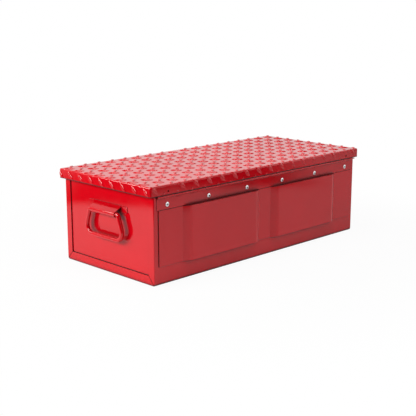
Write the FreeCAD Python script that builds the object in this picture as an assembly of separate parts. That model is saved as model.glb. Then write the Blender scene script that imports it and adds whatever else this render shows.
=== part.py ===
"""Low steel tool box: folded body, tread-plate lid on a full-length hinge, drop handles and a hasp.

Millimetres. The origin is the middle of the floor's underside. +X runs along the box to its right end as
seen from the front, the front faces -Y, the hinge side faces +Y, and +Z is up.
"""
import FreeCAD
import Part
import math
import os

# Body sheet
BODY_LENGTH = 735.5
BODY_WIDTH = 324.8
SHEET = 1.2
FLOOR_BEND = 6.0
RIM_LIP = 12.0
END_BORDER_SIDE = 19.5
END_BORDER_FLOOR = 22.0
END_BORDER_HEM = 2.4
END_FOLD = 2.4
MITRE_WIDTH = 1.4
MITRE_DEPTH = 1.0
SEAM_WIDTH = 1.6
SEAM_DEPTH = 0.7
PANEL_FIT = 0.2

# Pressed field and raised panels of the front and back walls
FIELD_RISE = 2.0
FIELD_END_MARGIN = 13.5
FIELD_FLOOR_MARGIN = 44.0
PANEL_RISE = 10.0
PANEL_SLOPE_RUN = 18.0
PANEL_BEND = 20.0
PANEL_GAP = 41.5
PANEL_END_MARGIN = 87.0
PRESS_TOP_GAP = 0.6

# Lid
LID_EDGE_Z = 207.0
LID_DEPTH = 23.5
LID_SHEET = 1.5
LID_BEND = 4.0
LID_END_OVERHANG = 13.25
LID_REST_GAP = 0.5
LID_HOLE_RADIUS = 2.4
LID_HOLE_RISE = 8.5

# Tread pattern rolled into the lid
TREAD_HEIGHT = 2.2
TREAD_LENGTH = 29.0
TREAD_WIDTH = 10.2
TREAD_PITCH_X = 42.8
TREAD_PITCH_Y = 39.4
TREAD_PHASE_X = 27.2
TREAD_PHASE_Y = -24.4

# Full-length hinge
HINGE_LEAF = 1.0
HINGE_PIN_RADIUS = 1.5
HINGE_CLEARANCE = 0.05
KNUCKLE_WALL = 1.05
KNUCKLE_COUNT = 29
KNUCKLE_END_GAP = 0.4
KNUCKLE_EDGE_GAP = 0.4
HINGE_WALL_GAP = 0.4
HINGE_END_MARGIN = 8.5
BODY_LEAF_HEIGHT = 30.0
LID_LEAF_TOP_GAP = 3.5
PIN_STUB = 1.0
PIN_TAIL = 9.0

# Blind rivets
RIVET_SHANK_RADIUS = 2.4
RIVET_HOLE_GAP = 0.1
RIVET_HEAD_RADIUS = 5.2
RIVET_HEAD_HEIGHT = 1.7
RIVET_HEAD_EDGE = 0.5
MANDREL_RADIUS = 1.7
MANDREL_DEPTH = 2.4
RIVET_BULB_RADIUS = 3.6
RIVET_BULB_LENGTH = 4.0
RIVET_SIDE_GAP = 2.0
RIVET_EDGE = 1.0
HINGE_RIVET_COUNT = 6
HINGE_RIVET_END_MARGIN = 31.7
HINGE_RIVET_RISE = 11.0

# Drop handles
HANDLE_ROD_RADIUS = 5.2
HANDLE_LID_DROP = 57.0
HANDLE_STANDOFF = 13.4
HANDLE_DROP = 61.0
HANDLE_SPLAY = 20.0
HANDLE_TOP_BEND = 7.0
HANDLE_BOTTOM_BEND = 20.0
HANDLE_CLEARANCE = 0.3
BRACKET_SHEET = 1.6
BRACKET_COVER_THINNING = 0.2
BRACKET_TUBE_LENGTH = 90.0
BRACKET_TOP_WIDTH = 101.0
BRACKET_TOP_RISE = 19.0
EAR_SPAN = 142.0
EAR_HEIGHT = 16.0
EAR_ROUND = 6.0
EAR_EDGE = 1.2

# Hasp on the front wall and its staple on the lid
HASP_PIN_RADIUS = 2.5
HASP_CLEARANCE = 0.05
HASP_DROP = 17.0
HASP_FACE_GAP = 0.5
HASP_PLATE = 2.0
HASP_PLATE_HEIGHT = 22.0
HASP_EAR = 2.5
HASP_EAR_GAP = 0.5
HASP_EAR_RADIUS = 5.5
HASP_PIN_HEAD_RADIUS = 4.0
HASP_PIN_HEAD = 1.2
STRAP_WIDTH = 28.0
STRAP_SHEET = 2.5
STRAP_EYE_WALL = 2.0
STRAP_END_MARGIN = 9.0
STRAP_END_ROUND = 8.0
SLOT_CLEARANCE = 1.5
STAPLE_PLATE = 2.0
STAPLE_PLATE_EDGE = 0.5
STAPLE_RIVET_TAIL = 1.5
STAPLE_ROD_RADIUS = 2.5
STAPLE_SPACING = 12.0
STAPLE_REACH = 17.0
STAPLE_FIT = 0.05

# Levels and planes that several pieces share
KNUCKLE_BORE = HINGE_PIN_RADIUS + HINGE_CLEARANCE
KNUCKLE_RADIUS = KNUCKLE_BORE + KNUCKLE_WALL
LID_SIDE_OVERHANG = HINGE_WALL_GAP + KNUCKLE_RADIUS + HINGE_LEAF / 2 + LID_SHEET
HINGE_Y = BODY_WIDTH / 2 + HINGE_WALL_GAP + KNUCKLE_RADIUS
HINGE_Z = LID_EDGE_Z - KNUCKLE_EDGE_GAP - KNUCKLE_RADIUS
HINGE_HALF = BODY_LENGTH / 2 - HINGE_END_MARGIN
BODY_LEAF_Z = HINGE_Z - BODY_LEAF_HEIGHT
HINGE_RIVET_Z = BODY_LEAF_Z + HINGE_RIVET_RISE
LID_TOP_Z = LID_EDGE_Z + LID_DEPTH
LID_HALF_LENGTH = BODY_LENGTH / 2 + LID_END_OVERHANG
LID_HALF_WIDTH = BODY_WIDTH / 2 + LID_SIDE_OVERHANG
RIM_Z = LID_TOP_Z - LID_SHEET - LID_REST_GAP
PRESS_TOP_Z = BODY_LEAF_Z - PRESS_TOP_GAP
END_FACE_X = BODY_LENGTH / 2 - END_BORDER_HEM
HANDLE_AXIS_Z = LID_EDGE_Z - HANDLE_LID_DROP
HANDLE_TOP_HALF = BRACKET_TUBE_LENGTH / 2 + HANDLE_TOP_BEND
HANDLE_BOTTOM_HALF = HANDLE_TOP_HALF + HANDLE_SPLAY
RIVET_HOLE = RIVET_SHANK_RADIUS + RIVET_HOLE_GAP
DOME_RADII = (RIVET_HEAD_RADIUS, (RIVET_HEAD_RADIUS + MANDREL_RADIUS) / 2, MANDREL_RADIUS)
HASP_Z = LID_EDGE_Z - HASP_DROP
HASP_STANDOFF = LID_SIDE_OVERHANG + STAPLE_PLATE + HASP_FACE_GAP + STRAP_SHEET / 2
HASP_Y = -BODY_WIDTH / 2 - HASP_STANDOFF
HASP_EAR_OUTER = STRAP_WIDTH / 2 + HASP_EAR_GAP + HASP_EAR
HASP_RIVET_X = HASP_EAR_OUTER + HASP_PIN_HEAD + RIVET_HEAD_RADIUS + RIVET_EDGE
HASP_PLATE_HALF = HASP_RIVET_X + RIVET_HEAD_RADIUS + RIVET_EDGE
STAPLE_Z = LID_EDGE_Z + (LID_DEPTH - LID_BEND) / 2
STAPLE_RIVET_X = STRAP_WIDTH / 2 + RIVET_HEAD_RADIUS + RIVET_SIDE_GAP
STAPLE_PLATE_HALF = STAPLE_RIVET_X + RIVET_HEAD_RADIUS + RIVET_EDGE
HINGE_RIVET_PITCH = 2 * (HINGE_HALF - HINGE_RIVET_END_MARGIN) / (HINGE_RIVET_COUNT - 1)
HINGE_RIVET_XS = [(i - (HINGE_RIVET_COUNT - 1) / 2) * HINGE_RIVET_PITCH for i in range(HINGE_RIVET_COUNT)]

X_AXIS = FreeCAD.Vector(1, 0, 0)
Y_AXIS = FreeCAD.Vector(0, 1, 0)
Z_AXIS = FreeCAD.Vector(0, 0, 1)
CENTRE = FreeCAD.Vector(0, 0, 0)


def vec(x, y, z):
    """Point or direction."""
    return FreeCAD.Vector(x, y, z)


def block(x0, x1, y0, y1, z0, z1):
    """Box between two opposite corners."""
    return Part.makeBox(x1 - x0, y1 - y0, z1 - z0, vec(x0, y0, z0))


def rod(radius, start, direction, length):
    """Round bar from a start point along a direction."""
    return Part.makeCylinder(radius, length, start, direction)


def prism(points, sweep):
    """Straight prism: a flat polygon moved along a vector."""
    return Part.Face(Part.makePolygon(points + points[:1])).extrude(sweep)


def edges_along(shape, axis):
    """Straight edges of a shape that run parallel to an axis."""
    found = []
    for edge in shape.Edges:
        direction = edge.tangentAt(edge.FirstParameter)
        if abs(abs(direction.dot(axis)) - 1) < 1e-6:
            found.append(edge)
    return found


def rounded_path(points, bends):
    """Wire through points, with a tangent arc of the given radius at each inner point."""
    edges = []
    start = points[0]
    for before, corner, after, radius in zip(points, points[1:], points[2:], bends):
        into = (corner - before).normalize()
        out = (after - corner).normalize()
        half_turn = into.getAngle(out) / 2
        reach = radius * math.tan(half_turn)
        arc_start = corner - into * reach
        arc_end = corner + out * reach
        towards_centre = (out - into).normalize()
        arc_middle = corner + towards_centre * (radius / math.cos(half_turn) - radius)
        edges.append(Part.LineSegment(start, arc_start).toShape())
        edges.append(Part.Arc(arc_start, arc_middle, arc_end).toShape())
        start = arc_end
    edges.append(Part.LineSegment(start, points[-1]).toShape())
    return Part.Wire(edges)


def mirrored(shape):
    """The same piece at the other end of the box."""
    return shape.mirror(CENTRE, X_AXIS)


def trough(half_length, half_width, bottom, top, bend):
    """Solid bar with rounded long edges along its underside."""
    bar = block(-half_length, half_length, -half_width, half_width, bottom, top)
    low = [edge for edge in edges_along(bar, X_AXIS) if edge.CenterOfMass.z < (bottom + top) / 2]
    return bar.makeFillet(bend, low)


def with_end_folds(bar, top):
    """The same bar with its two ends' outline rounded, where the end borders are folded in."""
    across = [edge for edge in bar.Edges if edge.BoundBox.XLength < 1e-6]
    outline = [edge for edge in across if edge.CenterOfMass.z < top - 1e-6]
    return bar.makeFillet(END_FOLD, outline)


def wall_press(inset):
    """Raised field and two raised panels of the back wall, shrunk by the sheet for the inside."""
    root = BODY_WIDTH / 2 - SHEET - inset
    field = BODY_WIDTH / 2 - inset + FIELD_RISE
    crest = field + PANEL_RISE
    low = FIELD_FLOOR_MARGIN + inset
    high = PRESS_TOP_Z - inset
    field_end = BODY_LENGTH / 2 - FIELD_END_MARGIN - inset
    shape = block(-field_end, field_end, root, field, low, high)
    slant = math.hypot(PANEL_SLOPE_RUN, PANEL_RISE)
    shrink = inset * (slant - PANEL_SLOPE_RUN) / PANEL_RISE
    root_run = PANEL_SLOPE_RUN * (field - root) / PANEL_RISE
    near = PANEL_GAP / 2 + shrink
    far = BODY_LENGTH / 2 - PANEL_END_MARGIN - shrink
    start = vec(near - root_run, root, low)
    end = vec(far + root_run, root, low)
    crest_near = vec(near + PANEL_SLOPE_RUN, crest, low)
    crest_far = vec(far - PANEL_SLOPE_RUN, crest, low)
    section = rounded_path([start, crest_near, crest_far, end], [PANEL_BEND - inset, PANEL_BEND - inset])
    base = Part.LineSegment(end, start).toShape()
    panel = Part.Face(Part.Wire(section.Edges + [base])).extrude(vec(0, 0, high - low))
    return shape.multiFuse([panel, mirrored(panel)])


def mitre_grooves():
    """Seams where the folded end borders meet, at the two lower corners of each end."""
    inner = vec(0, BODY_WIDTH / 2 - END_BORDER_SIDE, END_BORDER_FLOOR)
    outer = vec(0, BODY_WIDTH / 2, 0)
    along = (outer - inner).normalize()
    across = X_AXIS.cross(along) * (MITRE_WIDTH / 2)
    inner = inner - along * MITRE_WIDTH
    face_x = vec(BODY_LENGTH / 2 - MITRE_DEPTH, 0, 0)
    corners = [inner + across, outer + across, outer - across, inner - across]
    groove = prism([face_x + corner for corner in corners], X_AXIS * (2 * MITRE_DEPTH))
    pair = [groove, groove.mirror(CENTRE, Y_AXIS)]
    return pair + [mirrored(item) for item in pair]


def hasp_rivet_holes():
    """Holes for the hasp's two rivets, through the bracket and the front wall."""
    start_y = -BODY_WIDTH / 2 - 2 * HASP_PLATE
    length = 2 * HASP_PLATE + 2 * SHEET
    sides = (-HASP_RIVET_X, HASP_RIVET_X)
    return [rod(RIVET_HOLE, vec(x, start_y, HASP_Z), Y_AXIS, length) for x in sides]


def hinge_rivet_holes():
    """Holes for the hinge rivets, through the leaf and the back wall."""
    start_y = BODY_WIDTH / 2 - 2 * SHEET
    length = 2 * SHEET + 2 * HINGE_LEAF
    return [rod(RIVET_HOLE, vec(x, start_y, HINGE_RIVET_Z), Y_AXIS, length) for x in HINGE_RIVET_XS]


def body_shell():
    """Front, floor and back in one folded sheet, with hemmed borders folded in around both ends."""
    half_length = BODY_LENGTH / 2
    half_width = BODY_WIDTH / 2
    outside = with_end_folds(trough(half_length, half_width, 0, RIM_Z, FLOOR_BEND), RIM_Z)
    inside = trough(END_FACE_X, half_width - SHEET, SHEET, RIM_Z - SHEET, FLOOR_BEND - SHEET)
    raised = wall_press(0)
    hollow = wall_press(SHEET)
    outside = outside.multiFuse([raised, raised.mirror(CENTRE, Y_AXIS)])
    inside = inside.multiFuse([hollow, hollow.mirror(CENTRE, Y_AXIS)])
    above = RIM_Z + SHEET
    mouth_width = half_width - RIM_LIP
    mouth = block(-END_FACE_X, END_FACE_X, -mouth_width, mouth_width, RIM_Z - 2 * SHEET, above)
    end_width = half_width - END_BORDER_SIDE
    past_end = half_length + SHEET
    ends = block(-past_end, past_end, -end_width, end_width, END_BORDER_FLOOR, above)
    shell = outside.cut(inside.multiFuse([mouth, ends]))
    return shell.cut(mitre_grooves() + hasp_rivet_holes() + hinge_rivet_holes())


def end_seams():
    """Shallow channel in the end sheet's face along the inner edges of the borders."""
    half_width = BODY_WIDTH / 2 - END_BORDER_SIDE
    low = END_BORDER_FLOOR
    high = RIM_Z - RIM_LIP
    back = END_FACE_X - SEAM_DEPTH
    front = END_FACE_X + SEAM_DEPTH
    inner = half_width - SEAM_WIDTH
    return [
        block(back, front, -half_width, half_width, low, low + SEAM_WIDTH),
        block(back, front, inner, half_width, low, high),
        block(back, front, -half_width, -inner, low, high),
    ]


def end_panel():
    """Flat right-hand end sheet behind the folded borders, with its own rim lip."""
    outer_x = END_FACE_X
    inner_x = outer_x - SHEET
    half_width = BODY_WIDTH / 2 - SHEET - PANEL_FIT
    top = RIM_Z - SHEET - PANEL_FIT
    bar = trough(BODY_LENGTH, half_width, SHEET + PANEL_FIT, top, FLOOR_BEND - SHEET - PANEL_FIT)
    sheet = bar.common(block(inner_x, outer_x, -BODY_WIDTH, BODY_WIDTH, 0, RIM_Z))
    lip_half = BODY_WIDTH / 2 - RIM_LIP - PANEL_FIT
    upstand = block(inner_x, outer_x, -lip_half, lip_half, top - RIM_LIP, RIM_Z)
    lip = block(outer_x - RIM_LIP, outer_x, -lip_half, lip_half, RIM_Z - SHEET, RIM_Z)
    return sheet.multiFuse([upstand, lip]).removeSplitter().cut(end_seams())


def pan(half_length, half_width, bottom, top, bend):
    """Solid block with rounded top and upright edges."""
    bar = block(-half_length, half_length, -half_width, half_width, bottom, top)
    edges = [edge for edge in bar.Edges if edge.CenterOfMass.z > (bottom + top) / 2]
    return bar.makeFillet(bend, edges + edges_along(bar, Z_AXIS))


def tread_outline(x, y, lean):
    """Outline of one tread lozenge on the lid: two arcs that meet in points."""
    along = vec(1, lean, 0).normalize() * (TREAD_LENGTH / 2)
    across = vec(-lean, 1, 0).normalize() * (TREAD_WIDTH / 2)
    middle = vec(x, y, LID_TOP_Z)
    one_side = Part.Arc(middle - along, middle + across, middle + along).toShape()
    other_side = Part.Arc(middle + along, middle - across, middle - along).toShape()
    return Part.Wire([one_side, other_side])


def tread_outlines():
    """Two interleaved grids of lozenges that lean opposite ways, as far as the lid's flat top goes."""
    reach = TREAD_LENGTH / 2 / math.sqrt(2) + TREAD_WIDTH / 2
    limit_x = LID_HALF_LENGTH - LID_BEND - reach
    limit_y = LID_HALF_WIDTH - LID_BEND - reach
    columns = math.ceil(LID_HALF_LENGTH / TREAD_PITCH_X) + 1
    rows = math.ceil(LID_HALF_WIDTH / TREAD_PITCH_Y) + 1
    outlines = []
    for lean, shift in ((-1, 0.0), (1, 0.5)):
        for column in range(-columns, columns + 1):
            for row in range(-rows, rows + 1):
                x = TREAD_PHASE_X + (column + shift) * TREAD_PITCH_X
                y = TREAD_PHASE_Y + (row + shift) * TREAD_PITCH_Y
                if abs(x) < limit_x and abs(y) < limit_y:
                    outlines.append(tread_outline(x, y, lean))
    return outlines


def with_tread(plate):
    """The lid with its lozenges standing up out of the top face."""
    top = max(plate.Faces, key=lambda face: face.CenterOfMass.z)
    others = [face for face in plate.Faces if not face.isSame(top)]
    outlines = tread_outlines()
    faces = others + [Part.Face([top.OuterWire] + outlines)]
    for outline in outlines:
        faces += outline.extrude(Z_AXIS * TREAD_HEIGHT).Faces
        faces.append(Part.Face(outline.translated(Z_AXIS * TREAD_HEIGHT)))
    shell = Part.Shell(faces)
    shell.sewShape()
    solid = Part.Solid(shell)
    solid.fix(1e-5, 1e-5, 1e-5)
    return solid


def lid_holes():
    """Two locating holes through the lid's back flange and the hinge leaf behind it."""
    start_y = HINGE_Y - HINGE_LEAF
    length = 2 * HINGE_LEAF + 2 * LID_SHEET
    height = LID_EDGE_Z + LID_HOLE_RISE
    ends = (HINGE_RIVET_XS[0], HINGE_RIVET_XS[-1])
    return [rod(LID_HOLE_RADIUS, vec(x, start_y, height), Y_AXIS, length) for x in ends]


def staple_rivet_holes():
    """Holes for the staple's two rivets, through its plate and the lid's front flange."""
    start_y = -LID_HALF_WIDTH - 2 * STAPLE_PLATE
    length = 2 * STAPLE_PLATE + 2 * LID_SHEET
    sides = (-STAPLE_RIVET_X, STAPLE_RIVET_X)
    return [rod(RIVET_HOLE, vec(x, start_y, STAPLE_Z), Y_AXIS, length) for x in sides]


def lid():
    """Tread-plate pan that drops over the body's rim."""
    outside = pan(LID_HALF_LENGTH, LID_HALF_WIDTH, LID_EDGE_Z, LID_TOP_Z, LID_BEND)
    inside = pan(
        LID_HALF_LENGTH - LID_SHEET,
        LID_HALF_WIDTH - LID_SHEET,
        LID_EDGE_Z - LID_DEPTH,
        LID_TOP_Z - LID_SHEET,
        LID_BEND - LID_SHEET,
    )
    return with_tread(outside.cut([inside] + lid_holes() + staple_rivet_holes()))


def knuckle_spans(first):
    """Every other knuckle's start and end along the hinge."""
    pitch = 2 * HINGE_HALF / KNUCKLE_COUNT
    spans = []
    for index in range(first, KNUCKLE_COUNT, 2):
        start = -HINGE_HALF + index * pitch
        spans.append((start + KNUCKLE_END_GAP / 2, start + pitch - KNUCKLE_END_GAP / 2))
    return spans


def knuckle_bore():
    """Hole for the hinge pin, right through the hinge."""
    return rod(KNUCKLE_BORE, vec(-BODY_LENGTH, HINGE_Y, HINGE_Z), X_AXIS, 2 * BODY_LENGTH)


def hinge_body_leaf():
    """Leaf on the outside of the back wall, with every other knuckle."""
    wall = BODY_WIDTH / 2
    face = wall + HINGE_LEAF
    shoulder = HINGE_Z - KNUCKLE_RADIUS - KNUCKLE_EDGE_GAP
    neck_z = HINGE_Z - KNUCKLE_BORE - KNUCKLE_WALL / 2
    leaf = block(-HINGE_HALF, HINGE_HALF, wall, face, BODY_LEAF_Z, shoulder)
    pieces = []
    for start, end in knuckle_spans(0):
        pieces.append(rod(KNUCKLE_RADIUS, vec(start, HINGE_Y, HINGE_Z), X_AXIS, end - start))
        pieces.append(block(start, end, wall, face, shoulder - HINGE_LEAF, HINGE_Z))
        pieces.append(block(start, end, wall, HINGE_Y, neck_z, HINGE_Z))
    return leaf.multiFuse(pieces).cut([knuckle_bore()] + hinge_rivet_holes()).removeSplitter()


def hinge_lid_leaf():
    """Leaf on the inside of the lid's back flange, with the knuckles between."""
    inner = HINGE_Y - HINGE_LEAF / 2
    outer = HINGE_Y + HINGE_LEAF / 2
    top = LID_TOP_Z - LID_BEND - LID_LEAF_TOP_GAP
    leaf = block(-HINGE_HALF, HINGE_HALF, inner, outer, LID_EDGE_Z, top)
    pieces = []
    for start, end in knuckle_spans(1):
        pieces.append(rod(KNUCKLE_RADIUS, vec(start, HINGE_Y, HINGE_Z), X_AXIS, end - start))
        pieces.append(block(start, end, inner, outer, HINGE_Z, LID_EDGE_Z + HINGE_LEAF))
    return leaf.multiFuse(pieces).cut([knuckle_bore()] + lid_holes()).removeSplitter()


def hinge_pin():
    """Wire through all the knuckles, with an uncut tail at the left end."""
    start = -HINGE_HALF - PIN_TAIL
    return rod(HINGE_PIN_RADIUS, vec(start, HINGE_Y, HINGE_Z), X_AXIS, HINGE_HALF + PIN_STUB - start)


def dome_height(radius):
    """Height of a rivet's domed head at a radius."""
    rise = RIVET_HEAD_HEIGHT - RIVET_HEAD_EDGE
    sphere = (RIVET_HEAD_RADIUS ** 2 + rise ** 2) / (2 * rise)
    return RIVET_HEAD_HEIGHT - sphere + math.sqrt(sphere ** 2 - radius ** 2)


def rivet(place, outward, grip, bulb):
    """Blind rivet: domed head with a mandrel hole, shank, and a bulb on the far side of the sheets."""
    rim, shoulder, crown = (vec(r, 0, dome_height(r)) for r in DOME_RADII)
    corners = [
        crown,
        vec(MANDREL_RADIUS, 0, RIVET_HEAD_HEIGHT - MANDREL_DEPTH),
        vec(0, 0, RIVET_HEAD_HEIGHT - MANDREL_DEPTH),
        vec(0, 0, -grip - bulb),
        vec(RIVET_BULB_RADIUS, 0, -grip - bulb),
        vec(RIVET_BULB_RADIUS, 0, -grip),
        vec(RIVET_SHANK_RADIUS, 0, -grip),
        vec(RIVET_SHANK_RADIUS, 0, 0),
        vec(RIVET_HEAD_RADIUS, 0, 0),
        rim,
    ]
    edges = Part.makePolygon(corners).Edges + [Part.Arc(rim, shoulder, crown).toShape()]
    body = Part.Face(Part.Wire(edges)).revolve(CENTRE, Z_AXIS, 360)
    body.Placement = FreeCAD.Placement(place, FreeCAD.Rotation(Z_AXIS, outward))
    return body


def hinge_rivets():
    """Rivets that hold the hinge's lower leaf to the back wall."""
    face_y = BODY_WIDTH / 2 + HINGE_LEAF
    grip = HINGE_LEAF + SHEET
    places = [vec(x, face_y, HINGE_RIVET_Z) for x in HINGE_RIVET_XS]
    return Part.makeCompound([rivet(place, Y_AXIS, grip, RIVET_BULB_LENGTH) for place in places])


def handle_bracket():
    """Right-hand strap folded over at the top and rolled into a tube for the handle."""
    axis_x = END_FACE_X + HANDLE_STANDOFF
    bore = HANDLE_ROD_RADIUS + HANDLE_CLEARANCE
    tube = bore + BRACKET_SHEET
    top = HANDLE_AXIS_Z + BRACKET_TOP_RISE
    strip = block(END_FACE_X, END_FACE_X + BRACKET_SHEET, -EAR_SPAN / 2, EAR_SPAN / 2, top - EAR_HEIGHT, top)
    strip = strip.makeFillet(min(EAR_ROUND, EAR_HEIGHT / 2 - BRACKET_SHEET), edges_along(strip, X_AXIS))
    strip = strip.makeFillet(EAR_EDGE, max(strip.Faces, key=lambda face: face.CenterOfMass.x).Edges)
    fold_x = END_FACE_X + BRACKET_SHEET / 2
    fold_z = top - BRACKET_SHEET / 2
    slant = math.hypot(axis_x - fold_x, fold_z - HANDLE_AXIS_Z)
    middle = bore + BRACKET_SHEET / 2
    heading = math.atan2(HANDLE_AXIS_Z - fold_z, axis_x - fold_x) + math.asin(middle / slant)
    run = math.sqrt(slant ** 2 - middle ** 2)
    outward = vec(-math.sin(heading), 0, math.cos(heading)) * ((BRACKET_SHEET - BRACKET_COVER_THINNING) / 2)
    fold = vec(fold_x, 0, fold_z)
    touch = fold + vec(math.cos(heading), 0, math.sin(heading)) * run
    top_half = Y_AXIS * (BRACKET_TOP_WIDTH / 2)
    tube_half = Y_AXIS * (BRACKET_TUBE_LENGTH / 2)
    corners = [fold - top_half, fold + top_half, touch + tube_half, touch - tube_half]
    cover = prism([corner - outward for corner in corners], outward * 2)
    barrel = rod(tube, vec(axis_x, 0, HANDLE_AXIS_Z) - tube_half, Y_AXIS, BRACKET_TUBE_LENGTH)
    passage = rod(bore, vec(axis_x, -EAR_SPAN, HANDLE_AXIS_Z), Y_AXIS, 2 * EAR_SPAN)
    return strip.multiFuse([cover, barrel]).cut(passage)


def handle():
    """Right-hand closed bail of round rod, hanging in the bracket's tube."""
    axis_x = END_FACE_X + HANDLE_STANDOFF
    low = HANDLE_AXIS_Z - HANDLE_DROP
    path = rounded_path(
        [
            vec(axis_x, 0, HANDLE_AXIS_Z),
            vec(axis_x, HANDLE_TOP_HALF, HANDLE_AXIS_Z),
            vec(axis_x, HANDLE_BOTTOM_HALF, low),
            vec(axis_x, 0, low),
        ],
        [HANDLE_TOP_BEND, HANDLE_BOTTOM_BEND],
    )
    section = Part.Wire(Part.makeCircle(HANDLE_ROD_RADIUS, path.Vertexes[0].Point, Y_AXIS))
    half = path.makePipeShell([section], True, False)
    return half.fuse(half.mirror(CENTRE, Y_AXIS)).removeSplitter()


def hasp_bracket():
    """Plate on the front wall with two ears that carry the hasp's pin."""
    wall = -BODY_WIDTH / 2
    half_height = HASP_PLATE_HEIGHT / 2
    half = HASP_PLATE_HALF
    plate = block(-half, half, wall - HASP_PLATE, wall, HASP_Z - half_height, HASP_Z + half_height)
    ears = []
    for x in (HASP_EAR_OUTER - HASP_EAR, -HASP_EAR_OUTER):
        low = HASP_Z - HASP_EAR_RADIUS
        ears.append(block(x, x + HASP_EAR, HASP_Y, wall - HASP_PLATE / 2, low, low + 2 * HASP_EAR_RADIUS))
        ears.append(rod(HASP_EAR_RADIUS, vec(x, HASP_Y, HASP_Z), X_AXIS, HASP_EAR))
    bore = rod(HASP_PIN_RADIUS + HASP_CLEARANCE, vec(-half, HASP_Y, HASP_Z), X_AXIS, 2 * half)
    return plate.multiFuse(ears).cut([bore] + hasp_rivet_holes()).removeSplitter()


def hasp_pin():
    """Headed pin through the ears and the strap's eye."""
    half = HASP_EAR_OUTER + HASP_CLEARANCE
    shank = rod(HASP_PIN_RADIUS, vec(-half, HASP_Y, HASP_Z), X_AXIS, 2 * half)
    heads = []
    for x in (-half - HASP_PIN_HEAD, half):
        heads.append(rod(HASP_PIN_HEAD_RADIUS, vec(x, HASP_Y, HASP_Z), X_AXIS, HASP_PIN_HEAD))
    return shank.multiFuse(heads)


def hasp_strap():
    """Strap that hangs from the pin and swings up over the staple, shown hanging."""
    bore = HASP_PIN_RADIUS + HASP_CLEARANCE
    eye = bore + STRAP_EYE_WALL
    staple_half = STAPLE_SPACING / 2 + STAPLE_ROD_RADIUS
    staple_low = STAPLE_Z - HASP_Z - staple_half
    staple_high = STAPLE_Z - HASP_Z + staple_half
    tip_reach = LID_SIDE_OVERHANG + STAPLE_REACH - HASP_STANDOFF
    slot_start = staple_low - SLOT_CLEARANCE
    slot_end = math.hypot(staple_high, tip_reach) + SLOT_CLEARANCE
    length = slot_end + STRAP_END_MARGIN
    half_sheet = STRAP_SHEET / 2
    half_width = STRAP_WIDTH / 2
    flat = block(-half_width, half_width, HASP_Y - half_sheet, HASP_Y + half_sheet, HASP_Z - length, HASP_Z)
    corners = [edge for edge in edges_along(flat, Y_AXIS) if edge.CenterOfMass.z < HASP_Z - length / 2]
    flat = flat.makeFillet(STRAP_END_ROUND, corners)
    barrel = rod(eye, vec(-half_width, HASP_Y, HASP_Z), X_AXIS, STRAP_WIDTH)
    passage = rod(bore, vec(-STRAP_WIDTH, HASP_Y, HASP_Z), X_AXIS, 2 * STRAP_WIDTH)
    slot_half = STAPLE_ROD_RADIUS + SLOT_CLEARANCE
    slot = block(
        -slot_half,
        slot_half,
        HASP_Y - STRAP_SHEET,
        HASP_Y + STRAP_SHEET,
        HASP_Z - slot_end,
        HASP_Z - slot_start,
    )
    return flat.fuse(barrel).cut([passage, slot])


def hasp_rivets():
    """Two rivets that hold the hasp's bracket to the front wall."""
    face_y = -BODY_WIDTH / 2 - HASP_PLATE
    grip = HASP_PLATE + SHEET
    places = [vec(x, face_y, HASP_Z) for x in (-HASP_RIVET_X, HASP_RIVET_X)]
    return Part.makeCompound([rivet(place, -Y_AXIS, grip, RIVET_BULB_LENGTH) for place in places])


def staple_plate():
    """Backing plate of the staple, on the lid's front flange."""
    half = STAPLE_PLATE_HALF
    half_height = STAPLE_SPACING / 2 + STAPLE_ROD_RADIUS + STAPLE_PLATE_EDGE
    face_y = -LID_HALF_WIDTH - STAPLE_PLATE
    plate = block(-half, half, face_y, -LID_HALF_WIDTH, STAPLE_Z - half_height, STAPLE_Z + half_height)
    hole = STAPLE_ROD_RADIUS + STAPLE_FIT
    legs = (STAPLE_Z - STAPLE_SPACING / 2, STAPLE_Z + STAPLE_SPACING / 2)
    seats = [rod(hole, vec(0, face_y - STAPLE_PLATE, z), Y_AXIS, 3 * STAPLE_PLATE) for z in legs]
    return plate.cut(seats + staple_rivet_holes())


def staple_loop():
    """Bent rod that stands out of the plate for the padlock's shackle."""
    bend = STAPLE_SPACING / 2
    turn_y = -LID_HALF_WIDTH - STAPLE_REACH + bend + STAPLE_ROD_RADIUS
    upper = vec(0, 0, STAPLE_Z + bend)
    lower = vec(0, 0, STAPLE_Z - bend)
    foot = Y_AXIS * -LID_HALF_WIDTH
    turn = Y_AXIS * turn_y
    tip = vec(0, turn_y - bend, STAPLE_Z)
    path = Part.Wire(
        [
            Part.LineSegment(upper + foot, upper + turn).toShape(),
            Part.Arc(upper + turn, tip, lower + turn).toShape(),
            Part.LineSegment(lower + turn, lower + foot).toShape(),
        ]
    )
    section = Part.Wire(Part.makeCircle(STAPLE_ROD_RADIUS, upper + foot, Y_AXIS))
    return path.makePipeShell([section], True, False)


def staple_rivets():
    """Two rivets that hold the staple's plate to the lid."""
    face_y = -LID_HALF_WIDTH - STAPLE_PLATE
    grip = STAPLE_PLATE + LID_SHEET
    places = [vec(x, face_y, STAPLE_Z) for x in (-STAPLE_RIVET_X, STAPLE_RIVET_X)]
    return Part.makeCompound([rivet(place, -Y_AXIS, grip, STAPLE_RIVET_TAIL) for place in places])


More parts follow.
